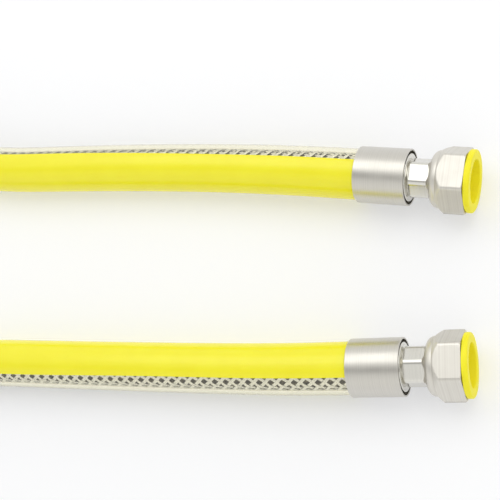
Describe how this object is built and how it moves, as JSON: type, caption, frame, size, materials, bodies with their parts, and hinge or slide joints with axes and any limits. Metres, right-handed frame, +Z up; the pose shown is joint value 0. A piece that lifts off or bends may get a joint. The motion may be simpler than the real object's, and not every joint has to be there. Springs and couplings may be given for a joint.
{
  "type": "flexible gas hose",
  "caption": "Flexible gas hose: corrugated steel tube in wire braid and a yellow plastic cover, with ferrules, union nuts and plugs at both ends.",
  "frame": {"origin": "on the surface that the hose lies on, midway between the two end fittings", "axes": "+X along the two ends, out of the fittings; +Y across from end B to end A; +Z up"},
  "size_m": [0.4571, 0.2023, 0.025],
  "materials": {
    "cover": "glossy extruded PVC, with one clear lengthwise window",
    "braid": "drawn stainless wire",
    "core_tube": "rolled stainless strip",
    "ferrule": "satin stainless sleeve",
    "weld_ring": "turned stainless",
    "tailpiece": "polished stainless",
    "nut": "satin turned stainless",
    "gasket": "matt rubber",
    "plug": "soft moulded polyethylene"
  },
  "bodies": {
    "hose": {"hose_cover": "cover", "wire_braid": "braid", "corrugated_tube": "core_tube", "ferrule_a": "ferrule", "ferrule_b": "ferrule", "weld_ring_a": "weld_ring", "weld_ring_b": "weld_ring", "tailpiece_a": "tailpiece", "tailpiece_b": "tailpiece", "gasket_a": "gasket", "gasket_b": "gasket"},
    "nut_a": {"union_nut_a": "nut"},
    "nut_b": {"union_nut_b": "nut"},
    "plug_a": {"end_plug_a": "plug"},
    "plug_b": {"end_plug_b": "plug"}
  },
  "joints": [
    {"name": "nut_a_spin", "type": "hinge", "parent": "hose", "child": "nut_a", "pos_m": [0.01344, 0.03611, 0.0125], "axis": [0.9959, -0.0906, 0], "continuous": true},
    {"name": "nut_b_spin", "type": "hinge", "parent": "hose", "child": "nut_b", "pos_m": [0.01562, -0.03703, 0.0125], "axis": [0.9978, 0.0663, 0], "continuous": true},
    {"name": "plug_a_pull", "type": "slide", "parent": "nut_a", "child": "plug_a", "axis": [0.9959, -0.0906, 0], "range_m": [0, 0.012]},
    {"name": "plug_b_pull", "type": "slide", "parent": "nut_b", "child": "plug_b", "axis": [0.9978, 0.0663, 0], "range_m": [0, 0.012]}
  ]
}
